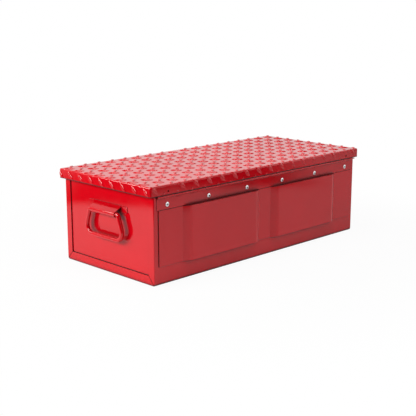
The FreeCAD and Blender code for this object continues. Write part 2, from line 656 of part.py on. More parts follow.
def build():
    """All the pieces by node name."""
    right_end_panel = end_panel()
    right_bracket = handle_bracket()
    right_handle = handle()
    return {
        "body_shell": body_shell(),
        "right_end_panel": right_end_panel,
        "left_end_panel": mirrored(right_end_panel),
        "lid": lid(),
        "hinge_body_leaf": hinge_body_leaf(),
        "hinge_lid_leaf": hinge_lid_leaf(),
        "hinge_pin": hinge_pin(),
        "hinge_rivets": hinge_rivets(),
        "right_handle_bracket": right_bracket,
        "left_handle_bracket": mirrored(right_bracket),
        "right_handle": right_handle,
        "left_handle": mirrored(right_handle),
        "hasp_bracket": hasp_bracket(),
        "hasp_pin": hasp_pin(),
        "hasp_strap": hasp_strap(),
        "hasp_rivets": hasp_rivets(),
        "staple_plate": staple_plate(),
        "staple_loop": staple_loop(),
        "staple_rivets": staple_rivets(),
    }


os.makedirs("parts", exist_ok=True)
for node, shape in build().items():
    shape.exportStep(f"parts/{node}.step")
    state = "valid" if shape.isValid() else "not valid"
    print(node, len(shape.Solids), "solids", round(shape.Volume), "mm3", state)
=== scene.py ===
"""Dresses the packed tool box in its looks: gloss red paint, tread lid, bright rivets, zinc hasp.

Laid out as an add-on and run as a script. Metres, in the packed part's own frame: the front faces
-Y, the hinge side faces +Y, the right end faces +X and +Z is up.
"""
import math
from itertools import product

import bmesh
import bpy
import numpy as np
from bpy.props import FloatProperty, FloatVectorProperty, IntProperty, PointerProperty
from mathutils import Matrix, Vector


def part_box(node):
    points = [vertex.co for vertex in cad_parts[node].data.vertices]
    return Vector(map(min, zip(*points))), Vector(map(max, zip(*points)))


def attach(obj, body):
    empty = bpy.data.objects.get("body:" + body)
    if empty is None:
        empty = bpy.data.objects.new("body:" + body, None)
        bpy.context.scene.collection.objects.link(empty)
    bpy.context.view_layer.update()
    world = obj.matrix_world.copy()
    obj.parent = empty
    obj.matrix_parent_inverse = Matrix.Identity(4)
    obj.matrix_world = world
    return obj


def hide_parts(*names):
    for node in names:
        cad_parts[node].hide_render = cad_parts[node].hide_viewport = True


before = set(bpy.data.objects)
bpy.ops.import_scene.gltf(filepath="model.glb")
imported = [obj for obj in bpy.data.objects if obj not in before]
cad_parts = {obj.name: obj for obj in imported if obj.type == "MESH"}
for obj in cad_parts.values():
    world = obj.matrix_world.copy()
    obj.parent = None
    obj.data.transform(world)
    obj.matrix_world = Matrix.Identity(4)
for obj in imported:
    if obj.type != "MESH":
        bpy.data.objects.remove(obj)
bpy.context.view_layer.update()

bl_info = {
    "name": "Tread-plate tool box",
    "version": (1, 0, 0),
    "blender": (4, 5, 0),
    "location": "3D View > Sidebar > Tool box",
    "description": "Dresses a steel tool box with a tread-plate lid and sets up its studio",
    "category": "Object",
}

LID_LOW, LID_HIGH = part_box("lid")
WALL_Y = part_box("hinge_body_leaf")[0].y

# The open lid's back flange leans away from the hinge leaf, so the room for its lozenges grows
# from the flange's lower edge.
OPEN_LEAN = math.tan(math.radians(14.5))

# One lozenge: rows of points along it and to each side, how full its dome is each way, how deep
# its rim lies in the plate, and the share of its height without which it is left out.
LOZENGE_STATIONS = 13
LOZENGE_HALF_ROWS = 4
FULL_ALONG = 3.5
FULL_ACROSS = 2.4
LOZENGE_SEAT = 0.00004
LOZENGE_LEAST = 0.25

# Holes in the lid's flanges, and the room that the lozenges leave round them and round the staple.
HOLE_SIDES = 32
CUTTER_REACH = 0.004
CLEAR_MARGIN = 0.0012
FLANGE_SKIN = 0.0002

# Rows of rivets: how many, the way their heads face along Y, and the body that carries them.
RIVET_ROWS = {
    "hinge_rivets": (6, 1, "case"),
    "hasp_rivets": (2, -1, "case"),
    "staple_rivets": (2, -1, "lid"),
}

# Rings of a broken mandrel, as shares of its radius and of the depth of its seat. The first two
# make a smooth collar, and the rest is torn.
MANDREL_RINGS = ((1.36, 0.93), (1.32, 0.985), (1.05, 1.02), (0.90, 0.92), (0.55, 0.84), (0.22, 0.94))
MANDREL_COLLAR = 2
MANDREL_SIDES = 14
MANDREL_SINK = 0.02
TORN_SHARE = 0.05

# Spot welds: places along and up a long wall, and a mark's rings as shares of its radius and rise.
WELD_PLACES = ((0.3390, 0.1572), (0.3389, 0.1064), (0.0109, 0.1582), (-0.2870, 0.1604),
               (-0.3428, 0.1628), (-0.3428, 0.1064))
WELD_RINGS = ((1.0, -0.3), (0.90, 0.55), (0.78, 1.0), (0.62, 0.6), (0.40, 0.25), (0.18, 0.18))
WELD_SIDES = 24
FIELD_RISE = 0.002

# Red paints: dullness, orange peel, scale of the colour drifts, strength of the painted shade in
# seams and hollows, and the height of the lower edge along which a painted shadow line runs, where
# there is one.
RED_PAINTS = {
    "gloss_red_body": (0.07, 0.06, 3.0, 1.0),
    "gloss_red_lid": (0.10, 0.08, 5.0, 0.10, LID_LOW.z),
    "gloss_red_hinge": (0.09, 0.08, 8.0, 1.0),
    "gloss_red_handle": (0.07, 0.06, 12.0, 0.8),
}
# Painted shadow line along the lid's lower edge: the height over the edge up to which it is full, and
# the height by which it has gone.
HEM_SHADOW_DARK = 0.0011
HEM_SHADOW_CLEAR = 0.0024

# Lamps: place, the point that they face, width, height and the setting that holds their power.
LAMPS = {
    "left_soft_box": ((2.30, -0.90, 1.15), (0.37, 0.0, 0.11), 2.4, 0.5, "left_power"),
    "right_soft_box": ((-0.80, 2.15, 0.70), (0.0, 0.16, 0.11), 3.0, 1.1, "right_power"),
    "top_soft_box": ((0.15, 0.15, 2.00), (0.0, 0.0, 0.2), 1.4, 1.1, "top_power"),
}

# The floor lies just under the box and fades out between these distances towards the camera.
FLOOR_DROP = 0.0004
FADE_SIDE = (-0.20, 0.08)

# The white backdrop in the paint's reflections, as parts of a direction: it starts beside the box,
# stands on the floor, goes on below it straight beyond the box, and dims towards the top.
BACKDROP_SIDE = (-0.10, 0.45)
BACKDROP_FOOT = (-0.06, 0.0)
BACKDROP_BEYOND = (0.50, 0.80)
BACKDROP_TOP = (0.34, 0.98)
BACKDROP_TOP_SHARE = 0.6


def length(name, description, default):
    """Length property in metres."""
    return FloatProperty(name=name, description=description, default=default, unit="LENGTH",
                         precision=5)


def colour(name, description, default):
    """Linear colour property."""
    return FloatVectorProperty(name=name, description=description, default=default,
                               subtype="COLOR", size=3)


def share(name, description, default):
    """Property between nought and one."""
    return FloatProperty(name=name, description=description, default=default, subtype="FACTOR",
                         min=0.0, max=1.0)


def power(name, description, default):
    """Lamp power property."""
    return FloatProperty(name=name, description=description, default=default, unit="POWER")


def angle(name, description, degrees):
    """Angle property, from its degrees."""
    return FloatProperty(name=name, description=description, default=math.radians(degrees),
                         subtype="ANGLE")


class ToolboxLidSizes(bpy.types.PropertyGroup):
    """Sizes of the rolled tread lid"""
    sheet: length("Sheet", "Thickness of the lid's plate between the lozenges", 0.0015)
    bend: length("Bend", "Outside radius of the lid's folded edges", 0.004)
    bend_steps: IntProperty(name="Bend steps", description="Steps in each folded edge's arc",
                            default=6, min=2)
    tread_length: length("Lozenge length", "Length of one tread lozenge, tip to tip", 0.029)
    tread_width: length("Lozenge width", "Width of one tread lozenge at its middle", 0.0102)
    tread_height: length("Lozenge height", "Height of the lozenges above the plate", 0.0022)
    pitch_x: length("Pitch along", "Spacing of the lozenges along the lid", 0.0428)
    pitch_y: length("Pitch across", "Spacing of the lozenges across the lid", 0.0394)
    phase_x: length("Start along", "Place of one lozenge along the lid", 0.0272)
    phase_y: length("Start across", "Place of one lozenge across the lid", -0.0244)
    hinge_room: length(
        "Hinge room", "Height left for the lozenges at the hinge side's lower edge", 0.0005)
    hole_radius: length("Hole radius", "Radius of the locating holes in the back flange", 0.0024)
    hole_rise: length("Hole rise", "Height of the locating holes above the lower edge", 0.0085)
    rivet_hole: length("Rivet hole", "Radius of the staple's rivet holes", 0.0025)


class ToolboxDetailSizes(bpy.types.PropertyGroup):
    """Sizes of the small marks and softened edges"""
    body_edge: length("Body edge", "Softening of the body sheet's edges", 0.0006)
    panel_edge: length("End panel edge", "Softening of the end panels' edges", 0.0003)
    hinge_edge: length("Hinge edge", "Softening of the hinge's edges", 0.00022)
    bracket_edge: length("Bracket edge", "Softening of the handle brackets' edges", 0.0004)
    hasp_edge: length("Hasp edge", "Softening of the hasp's edges", 0.00035)
    rivet_head: length("Rivet head", "Radius of a rivet's head", 0.0052)
    mandrel_radius: length("Mandrel radius", "Radius of a rivet's broken mandrel", 0.00166)
    mandrel_depth: length("Mandrel depth", "Depth of its seat under the rivet's crown", 0.0024)
    weld_radius: length("Weld mark radius", "Radius of a spot-weld mark", 0.0034)
    weld_rise: length("Weld mark rise", "Height of a spot-weld mark's rim", 0.00016)


class ToolboxColours(bpy.types.PropertyGroup):
    """Colours of the finishes, linear"""
    red: colour("Red", "Body of the red paint", (0.70, 0.0012, 0.009))
    deep_red: colour("Deep red", "Thicker, darker drifts of the paint", (0.63, 0.0009, 0.007))
    thin_red: colour("Thin red", "Paint that is thin along the edges", (0.46, 0.012, 0.012))
    # Painted shade: this colour is laid into seams, creases, the ledges under the hinge leaf and the
    # wall under the raised panels, where shade falls.
    seam_shade_red: colour("Seam red", "Dark paint and dirt in seams", (0.045, 0.0008, 0.0015))
    aluminium: colour("Aluminium", "Bright rivets", (0.86, 0.86, 0.87))
    # The mandrels are real, but their near-black tone is painted shade of the hollow in each rivet.
    mandrel: colour("Mandrel", "Broken steel mandrels in the rivets", (0.035, 0.034, 0.033))
    torn: colour("Torn steel", "Dark grain of the broken mandrels", (0.012, 0.011, 0.011))
    zinc: colour("Zinc", "Plating of the hasp", (0.66, 0.67, 0.68))
    zinc_dull: colour("Dull zinc", "Duller spangles of the plating", (0.50, 0.51, 0.53))
    floor: colour("Floor", "Pale studio floor", (0.86, 0.86, 0.86))


class ToolboxStudio(bpy.types.PropertyGroup):
    """Lamps, floor and camera"""
    left_power: power("Left lamp", "Long soft box that lights the right-hand end", 62.5)
    right_power: power("Right lamp", "Low soft box that lights the hinge side", 13.4)
    top_power: power("Top lamp", "Soft box straight above the lid", 21.0)
    ambient: share("Ambient", "Light from all round that the object receives", 0.06)
    dark: share("Dark surround", "How light the unlit studio looks in the paint", 0.025)
    floor_seen: share("Floor seen", "Share of the shadowed floor that is white to the eye", 0.95)
    floor_mirrored: share("Floor mirrored", "Share of it that is white in reflections", 0.27)
    floor_shadow: length("Floor shadow", "Radius in which the floor shows its shadow", 0.45)
    floor_near: length("Floor inner edge", "Radius where the floor starts to fade out", 0.93)
    floor_far: length("Floor outer edge", "Radius where the floor has faded out", 1.05)
    floor_reach: length("Floor reach", "Half width of the whole floor", 1.9)
    camera_place: FloatVectorProperty(
        name="Camera", description="Place of the camera", size=3,
        default=(1.63199, 1.60083, 0.62780), subtype="TRANSLATION", unit="LENGTH")
    azimuth: angle("Azimuth", "Direction of the camera round the object", 135.0953)
    elevation: angle("Elevation", "Height of the camera as an angle", 13.1049)
    sensor: FloatProperty(name="Sensor", description="Width of the camera's sensor", default=36.0,
                          subtype="DISTANCE_CAMERA")
    lens: FloatProperty(name="Lens", description="Focal length of the camera", default=77.1746,
                        subtype="DISTANCE_CAMERA")


def opaque(value):
    """Colour with its alpha, or a socket as it is."""
    return value if isinstance(value, bpy.types.NodeSocket) else (*value, 1.0)


class Nodes:
    """Short hand for filling a node tree."""

    def __init__(self, tree):
        self.tree = tree
        tree.nodes.clear()

    def add(self, kind, values=None, **settings):
        """New node with attributes set by name and inputs set by name or number."""
        node = self.tree.nodes.new(kind)
        for key, value in settings.items():
            setattr(node, key, value)
        for key, value in (values or {}).items():
            if isinstance(value, bpy.types.NodeSocket):
                self.tree.links.new(value, node.inputs[key])
            else:
                node.inputs[key].default_value = value
        return node

    def math(self, operation, first, second):
        """Sum, product or the like of two numbers or sockets."""
        return self.add("ShaderNodeMath", {0: first, 1: second}, operation=operation).outputs[0]

    def dot(self, first, second):
        """How far one vector goes along another."""
        node = self.add("ShaderNodeVectorMath", {0: first, 1: second}, operation="DOT_PRODUCT")
        return node.outputs["Value"]

    def upward(self, vector):
        """Upright part of a vector."""
        return self.add("ShaderNodeSeparateXYZ", {0: vector}).outputs[2]

    def mix_colour(self, factor, first, second):
        """Colour mix of two colours or sockets."""
        node = self.add("ShaderNodeMix", {0: factor, 6: opaque(first), 7: opaque(second)},
                        data_type="RGBA")
        return node.outputs[2]

    def ramp(self, value, low, high, to_low=0.0, to_high=1.0):
        """Smooth change from one number to another as a value goes from low to high."""
        node = self.add("ShaderNodeMapRange", {0: value, 1: low, 2: high, 3: to_low, 4: to_high},
                        interpolation_type="SMOOTHSTEP")
        return node.outputs[0]

    def noise(self, place, scale, detail, roughness=0.5):
        """Cloudy pattern."""
        node = self.add("ShaderNodeTexNoise", {"Vector": place, "Scale": scale, "Detail": detail,
                                               "Roughness": roughness})
        return node.outputs[0]

    def bump(self, height, strength, distance, under=None):
        """Normal of a bumpy skin, which may lie over another one."""
        values = {"Strength": strength, "Distance": distance, "Height": height}
        if under is not None:
            values["Normal"] = under
        return self.add("ShaderNodeBump", values).outputs[0]

    def surface(self, values):
        """Shader with these inputs, as the surface of the material."""
        shader = self.add("ShaderNodeBsdfPrincipled", values)
        self.add("ShaderNodeOutputMaterial", {"Surface": shader.outputs[0]})


def new_finish(name):
    """New material, its empty node tree, and the object's own coordinates for its patterns."""
    material = bpy.data.materials.new(name)
    material.use_nodes = True
    nodes = Nodes(material.node_tree)
    return material, nodes, nodes.add("ShaderNodeTexCoord").outputs["Object"]


def edge_mask(nodes, radius):
    """Factor that is high along the piece's outer edges, where paint is thin and rubbed."""
    soft = nodes.add("ShaderNodeBevel", {"Radius": radius}, samples=6).outputs[0]
    sharp = nodes.add("ShaderNodeNewGeometry").outputs["Normal"]
    return nodes.ramp(nodes.dot(soft, sharp), 0.80, 0.985, 1.0, 0.0)


def shade_mask(nodes, reach, shut, clear, most, own=False):
    """Factor that is high in seams, hollows and under overhangs, where shade falls, for painting that
    shade in; own looks at the piece alone.
    """
    open_share = nodes.add("ShaderNodeAmbientOcclusion", {"Distance": reach}, samples=12,
                           only_local=own).outputs["AO"]
    return nodes.ramp(open_share, shut, clear, most, 0.0)


def red_paint(name, colours, dullness, peel, drift_scale, shade, hem=None):
    """Gloss red enamel on sheet steel: colour drifts, orange peel, thin edges, painted shade in seams
    and hollows, and a painted shadow line along a lower edge.
    """
    material, nodes, place = new_finish(name)
    drift = nodes.ramp(nodes.noise(place, drift_scale, detail=3.0), 0.35, 0.68)
    body = nodes.mix_colour(drift, colours.red, colours.deep_red)
    flecks = nodes.ramp(nodes.noise(place, 260.0, detail=2.0), 0.30, 0.70, 0.2, 0.75)
    broken = nodes.math("MULTIPLY", edge_mask(nodes, 0.0013), flecks)
    rubbed = nodes.mix_colour(broken, body, colours.thin_red)
    # Painted shade: occlusion darkens seams, creases, the ledges under the hinge leaf and the wall
    # under the raised panels towards the seam shade red.
    narrow = shade_mask(nodes, reach=0.014, shut=0.42, clear=0.90, most=0.94)
    wide = shade_mask(nodes, reach=0.040, shut=0.55, clear=0.985, most=0.75, own=True)
    shaded = nodes.math("MULTIPLY", nodes.math("MAXIMUM", narrow, wide), shade)
    if hem is not None:
        # Painted shadow line along the lid's lower edge.
        dark = nodes.ramp(nodes.upward(place), hem + HEM_SHADOW_DARK, hem + HEM_SHADOW_CLEAR, 0.9, 0.0)
        shaded = nodes.math("MAXIMUM", shaded, dark)
    paint = nodes.mix_colour(shaded, rubbed, colours.seam_shade_red)
    haze = nodes.noise(place, 22.0, detail=4.0, roughness=0.6)
    rough = nodes.math("MAXIMUM", nodes.ramp(haze, 0.30, 0.72, dullness * 0.75, dullness * 1.45),
                       nodes.math("MULTIPLY", shaded, 0.7))
    pores = nodes.noise(place, 330.0, detail=1.5, roughness=0.45)
    skin = nodes.bump(pores, strength=peel, distance=0.00012)
    waves = nodes.noise(place, 9.0, detail=1.0, roughness=0.4)
    sheet = nodes.bump(waves, strength=0.35, distance=0.0012, under=skin)
    nodes.surface({"Base Color": paint, "Roughness": rough, "Normal": sheet})
    return material


def bright_aluminium(name, colours):
    """Turned aluminium of the rivets, with fine grey specks."""
    material, nodes, place = new_finish(name)
    specks = nodes.noise(place, 900.0, detail=3.0)
    grey = nodes.mix_colour(nodes.ramp(specks, 0.52, 0.78), colours.aluminium, colours.zinc_dull)
    rough = nodes.ramp(specks, 0.30, 0.75, 0.24, 0.44)
    skin = nodes.bump(specks, strength=0.15, distance=0.00005)
    nodes.surface({"Base Color": grey, "Metallic": 1.0, "Roughness": rough, "Normal": skin})
    return material


def broken_steel(name, colours):
    """Torn steel of the broken mandrels with its own grain, kept near black and not metallic as
    painted shade of the hollow in each rivet.
    """
    material, nodes, place = new_finish(name)
    grain = nodes.noise(place, 2400.0, detail=3.0)
    tone = nodes.mix_colour(nodes.ramp(grain, 0.3, 0.7), colours.mandrel, colours.torn)
    rough = nodes.ramp(grain, 0.3, 0.7, 0.5, 0.75)
    skin = nodes.bump(grain, strength=0.5, distance=0.0001)
    nodes.surface({"Base Color": tone, "Metallic": 0.0, "Roughness": rough, "Normal": skin})
    return material


def zinc_plate(name, colours):
    """Zinc-plated steel: small spangles, drawn lines along the strap and rubbed edges."""
    material, nodes, place = new_finish(name)
    spangle = nodes.add("ShaderNodeTexVoronoi", {"Vector": place, "Scale": 420.0}, feature="F1")
    tone = nodes.mix_colour(nodes.ramp(spangle.outputs["Color"], 0.2, 0.8), colours.zinc,
                            colours.zinc_dull)
    stretched = nodes.add("ShaderNodeMapping", {"Vector": place, "Scale": (1600.0, 1600.0, 60.0)})
    lines = nodes.noise(stretched.outputs[0], 1.0, detail=2.0)
    rubbed = nodes.math("MULTIPLY", edge_mask(nodes, 0.0008), 0.5)
    bright = nodes.mix_colour(rubbed, tone, colours.aluminium)
    rough = nodes.ramp(lines, 0.25, 0.75, 0.30, 0.48)
    skin = nodes.bump(lines, strength=0.2, distance=0.00006)
    nodes.surface({"Base Color": bright, "Metallic": 1.0, "Roughness": rough, "Normal": skin})
    return material


BARE_METALS = {
    "bright_rivet": bright_aluminium,
    "broken_mandrel": broken_steel,
    "zinc_hasp": zinc_plate,
}


def finish(name):
    """Finish by name, made the first time it is asked for."""
    if name in bpy.data.materials and bpy.data.materials[name].get("toolbox_finish"):
        return bpy.data.materials[name]
    colours = bpy.context.scene.toolbox_colours
    if name in RED_PAINTS:
        material = red_paint(name, colours, *RED_PAINTS[name])
    else:
        material = BARE_METALS[name](name, colours)
    material["toolbox_finish"] = True
    return material


def dress(node, finish_name, soften=0.0):
    """Gives a packed node its finish and rounds its sharp edges."""
    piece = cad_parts[node]
    piece.material_slots[0].material = finish(finish_name)
    if not soften:
        return
    weld = piece.modifiers.new("joined faces", "WELD")
    weld.merge_threshold = 0.000002
    flat = piece.modifiers.new("whole faces", "DECIMATE")
    flat.decimate_type = "DISSOLVE"
    flat.angle_limit = math.radians(0.3)
    bevel = piece.modifiers.new("soft edges", "BEVEL")
    bevel.width = soften
    bevel.segments = 2
    bevel.limit_method = "ANGLE"
    bevel.angle_limit = math.radians(40)
    bevel.use_clamp_overlap = True
    normals = piece.modifiers.new("flat faces", "WEIGHTED_NORMAL")
    normals.keep_sharp = True


def new_piece(name, verts, faces, finish_name, body, slot):
    """Mesh piece that rides on a body."""
    mesh = bpy.data.meshes.new(name)
    mesh.from_pydata([tuple(v) for v in verts], [], faces)
    mesh.materials.append(finish(finish_name))
    piece = bpy.data.objects.new(name, mesh)
    bpy.context.scene.collection.objects.link(piece)
    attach(piece, body)
    return piece


def smooth(mesh, sharp_from):
    """Smooth faces, with the edges kept sharp from an angle in degrees."""
    mesh.polygons.foreach_set("use_smooth", [True] * len(mesh.polygons))
    mesh.set_sharp_from_angle(angle=math.radians(sharp_from))


def fill(build, places, faces):
    """Adds points and faces to a mesh in the making."""
    made = [build.verts.new(place) for place in places]
    for face in faces:
        build.faces.new([made[i] for i in face])


def turns(count):
    """Angles of the points round a ring."""
    return [2 * math.pi * k / count for k in range(count)]


def stack_rings(verts, faces, rings, side):
    """Adds rings joined by quads and closed by a cap, facing along Y or, with side -1, against it."""
    base = len(verts)
    around = len(rings[0])
    last = base + (len(rings) - 1) * around
    stack = []
    for start in range(base, last, around):
        for k in range(around):
            n = (k + 1) % around
            stack.append((start + k, start + around + k, start + around + n, start + n))
    stack.append(tuple(reversed(range(last, last + around))))
    for ring in rings:
        verts.extend(ring)
    faces.extend(stack if side > 0 else [face[::-1] for face in stack])


def pan_side(half_x, half_y, top, bottom, bend, steps):
    """One side of a pan's sheet: poles at the top's corners, then rings down the bend to the edge.

    Gives its points, its faces, the first point of the last ring and the number of points round it.
    """
    corners = [(1, 1), (-1, 1), (-1, -1), (1, -1)]
    centres = [(sx * (half_x - bend), sy * (half_y - bend)) for sx, sy in corners]
    verts = [(cx, cy, top) for cx, cy in centres]
    profile = [(bend * math.sin(a), top - bend + bend * math.cos(a))
               for a in (math.pi / 2 * i / steps for i in range(1, steps + 1))]
    profile.append((bend, bottom))
    around = 4 * (steps + 1)
    for out, z in profile:
        for k, (cx, cy) in enumerate(centres):
            for j in range(steps + 1):
                turn = math.pi / 2 * (k + j / steps)
                verts.append((cx + out * math.cos(turn), cy + out * math.sin(turn), z))
    faces = [(0, 1, 2, 3)]
    for k in range(4):
        first = 4 + k * (steps + 1)
        for j in range(steps):
            faces.append((k, first + j, first + j + 1))
        following = 4 + ((k + 1) % 4) * (steps + 1)
        faces.append((k, first + steps, following, (k + 1) % 4))
    for ring in range(len(profile) - 1):
        base = 4 + ring * around
        for i in range(around):
            j = (i + 1) % around
            faces.append((base + i, base + around + i, base + around + j, base + j))
    return verts, faces, 4 + (len(profile) - 1) * around, around


def plate_top(sizes):
    """Height of the lid's plate between the lozenges."""
    return LID_HIGH.z - sizes.tread_height


def lid_pan(sizes):
    """Closed sheet of the lid without its lozenges."""
    top = plate_top(sizes)
    sheet = sizes.sheet
    outer, outer_faces, outer_edge, around = pan_side(
        LID_HIGH.x, LID_HIGH.y, top, LID_LOW.z, sizes.bend, sizes.bend_steps)
    inner, inner_faces, inner_edge, around = pan_side(
        LID_HIGH.x - sheet, LID_HIGH.y - sheet, top - sheet, LID_LOW.z, sizes.bend - sheet,
        sizes.bend_steps)
    shift = len(outer)
    inner_edge += shift
    faces = outer_faces + [tuple(i + shift for i in reversed(face)) for face in inner_faces]
    for i in range(around):
        j = (i + 1) % around
        faces.append((outer_edge + i, inner_edge + i, inner_edge + j, outer_edge + j))
    return outer + inner, faces


def fold(sizes):
    """Radius of a bend's neutral line, and how far the flat sheet reaches past the bend's start."""
    neutral = sizes.bend - sizes.sheet / 2
    return neutral, neutral * math.pi / 2 + plate_top(sizes) - sizes.bend - LID_LOW.z


def lid_places(sizes, u, v, h):
    """Points at a height over the lid's sheet, from their places on it before it was folded."""
    bend = sizes.bend
    neutral, edge = fold(sizes)
    drop = np.zeros_like(u)
    folded = []
    for flat_place, half in ((u, LID_HIGH.x), (v, LID_HIGH.y)):
        flat = half - bend
        along = np.clip(flat_place, -flat - edge, flat + edge)
        over = np.maximum(np.abs(along) - flat, 0.0)
        turn = np.minimum(over / neutral, math.pi / 2)
        down = np.maximum(over - neutral * math.pi / 2, 0.0)
        out = np.minimum(np.abs(along), flat) + (bend + h) * np.sin(turn)
        folded.append(np.sign(along) * out)
        drop += (bend + h) * (1 - np.cos(turn)) + down
    return np.stack([*folded, plate_top(sizes) + h - drop], axis=1)


def lozenge(sizes, centre_u, centre_v, lean):
    """One domed lozenge as places on the flat sheet, heights and faces."""
    last_station = LOZENGE_STATIONS - 1
    spread = [math.sin(math.pi / 2 * (2 * i / last_station - 1)) for i in range(LOZENGE_STATIONS)]
    points = [(spread[0], 0.0, 0.0)]
    for t in spread[1:-1]:
        for row in range(-LOZENGE_HALF_ROWS, LOZENGE_HALF_ROWS + 1):
            rho = row / LOZENGE_HALF_ROWS
            dome = (1 - abs(rho) ** FULL_ACROSS) * (1 - abs(t) ** FULL_ALONG)
            points.append((t, rho * (1 - t * t), dome))
    points.append((spread[-1], 0.0, 0.0))
    along, across, height = np.array(points).T
    along = along * sizes.tread_length / 2
    across = across * sizes.tread_width / 2
    height = height * (sizes.tread_height + LOZENGE_SEAT) - LOZENGE_SEAT
    u = centre_u + (along - lean * across) / math.sqrt(2)
    v = centre_v + (lean * along + across) / math.sqrt(2)
    rows = 2 * LOZENGE_HALF_ROWS + 1
    last = len(points) - 1
    faces = []
    for row in range(rows - 1):
        faces.append((0, 1 + row, 2 + row))
        end = 1 + (LOZENGE_STATIONS - 3) * rows + row
        faces.append((last, end + 1, end))
        for station in range(LOZENGE_STATIONS - 3):
            a = 1 + station * rows + row
            faces.append((a, a + rows, a + rows + 1, a + 1))
    return u, v, height, faces


def cut_off(patch, outward, reach):
    """Cuts a lozenge off at a straight edge of the sheet and closes the cut."""
    cut = bmesh.ops.bisect_plane(
        patch, geom=patch.verts[:] + patch.edges[:] + patch.faces[:], dist=1e-7,
        plane_co=outward * reach, plane_no=outward, clear_outer=True)
    rim = [item for item in cut["geom_cut"] if isinstance(item, bmesh.types.BMVert)]
    if len(rim) > 2:
        edge_way = Vector((-outward.y, outward.x, 0.0))
        patch.faces.new(sorted(rim, key=lambda vert: vert.co.dot(edge_way)))


def trimmed(u, v, height, faces, flat_x, flat_y, edge):
    """Lozenge without what would lie past the sheet's edges or in its notched corners."""
    patch = bmesh.new()
    fill(patch, zip(u, v, height), faces)
    side_x = Vector((math.copysign(1.0, u.mean()), 0.0, 0.0))
    side_y = Vector((0.0, math.copysign(1.0, v.mean()), 0.0))
    if np.abs(u).max() > flat_x + edge:
        cut_off(patch, side_x, flat_x + edge)
    if np.abs(v).max() > flat_y + edge:
        cut_off(patch, side_y, flat_y + edge)
    if ((np.abs(u) > flat_x) & (np.abs(v) > flat_y)).any():
        if abs(v.mean()) - flat_y > abs(u.mean()) - flat_x:
            cut_off(patch, side_x, flat_x)
        else:
            cut_off(patch, side_y, flat_y)
    patch.verts.index_update()
    places = np.array([vert.co for vert in patch.verts])
    kept = [tuple(vert.index for vert in face.verts) for face in patch.faces]
    patch.free()
    return places, kept


def rivet_centres(node):
    """Centres of a row of rivets, from the box of their node."""
    low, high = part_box(node)
    count = RIVET_ROWS[node][0]
    radius = bpy.context.scene.toolbox_details.rivet_head
    first = low.x + radius
    last = high.x - radius
    z = (low.z + high.z) / 2
    return [Vector((first + (last - first) * i / (count - 1), 0.0, z)) for i in range(count)]


def in_the_way(sizes, points):
    """True where a lozenge would run under the staple's plate or into a locating hole."""
    x, y, z = points.T
    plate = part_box("staple_plate")[1]
    under_plate = ((y < -LID_HIGH.y + FLANGE_SKIN) & (np.abs(x) < plate.x + CLEAR_MARGIN)
                   & (z < plate.z + CLEAR_MARGIN))
    hole_x = rivet_centres("hinge_rivets")[-1].x
    hole_z = LID_LOW.z + sizes.hole_rise
    near_hole = ((y > LID_HIGH.y - FLANGE_SKIN)
                 & (np.hypot(np.abs(x) - hole_x, z - hole_z) < sizes.hole_radius + CLEAR_MARGIN))
    return under_plate.any() or near_hole.any()


def tread_relief(sizes):
    """All the lozenges: two grids that lean opposite ways and run on over the folded edges."""
    flat_x = LID_HIGH.x - sizes.bend
    flat_y = LID_HIGH.y - sizes.bend
    edge = fold(sizes)[1]
    columns = math.ceil((flat_x + edge) / sizes.pitch_x) + 1
    rows = math.ceil((flat_y + edge) / sizes.pitch_y) + 1
    grids = ((-1, 0.0), (1, 0.5))
    verts = []
    faces = []
    for (lean, shift), column, row in product(grids, range(-columns, columns + 1),
                                              range(-rows, rows + 1)):
        centre_u = sizes.phase_x + (column + shift) * sizes.pitch_x
        centre_v = sizes.phase_y + (row + shift) * sizes.pitch_y
        past_bend = max(abs(centre_u) - flat_x, abs(centre_v) - flat_y)
        if past_bend > edge + sizes.tread_length / 3:
            continue
        places, patch = trimmed(*lozenge(sizes, centre_u, centre_v, lean), flat_x, flat_y, edge)
        if not patch:
            continue
        room = sizes.hinge_room + OPEN_LEAN * (flat_y + edge - places[:, 1])
        places[:, 2] = np.minimum(places[:, 2], room)
        if places[:, 2].max() < LOZENGE_LEAST * sizes.tread_height:
            continue
        points = lid_places(sizes, *places.T)
        if in_the_way(sizes, points):
            continue
        base = len(verts)
        verts.extend(points.tolist())
        faces.extend(tuple(i + base for i in face) for face in patch)
    return verts, faces


def cutter_bar(bars, radius, x, y, z):
    """Adds a capped round bar that stands across a flange."""
    across = Matrix.Translation((x, y, z)) @ Vector((0.0, 1.0, 0.0)).to_track_quat(
        "Z", "Y").to_matrix().to_4x4()
    bmesh.ops.create_cone(bars, cap_ends=True, segments=HOLE_SIDES, radius1=radius, radius2=radius,
                          depth=2 * CUTTER_REACH, matrix=across)


def hole_cutters(sizes):
    """Bars for the locating holes in the back flange and the staple's rivet holes in the front."""
    bars = bmesh.new()
    hinge_row = rivet_centres("hinge_rivets")
    for centre in (hinge_row[0], hinge_row[-1]):
        cutter_bar(bars, sizes.hole_radius, centre.x, LID_HIGH.y, LID_LOW.z + sizes.hole_rise)
    for centre in rivet_centres("staple_rivets"):
        cutter_bar(bars, sizes.rivet_hole, centre.x, LID_LOW.y, centre.z)
    mesh = bpy.data.meshes.new("hole cutters")
    bars.to_mesh(mesh)
    bars.free()
    return bpy.data.objects.new("hole cutters", mesh)


def drilled(piece, cutter):
    """Mesh of a piece with the cutter's holes in it."""
    bpy.context.scene.collection.objects.link(cutter)
    holes = piece.modifiers.new("holes", "BOOLEAN")
    holes.object = cutter
    holes.solver = "EXACT"
    bpy.context.view_layer.update()
    shape = piece.evaluated_get(bpy.context.evaluated_depsgraph_get())
    mesh = bpy.data.meshes.new_from_object(shape)
    piece.modifiers.clear()
    bpy.data.objects.remove(cutter)
    return mesh


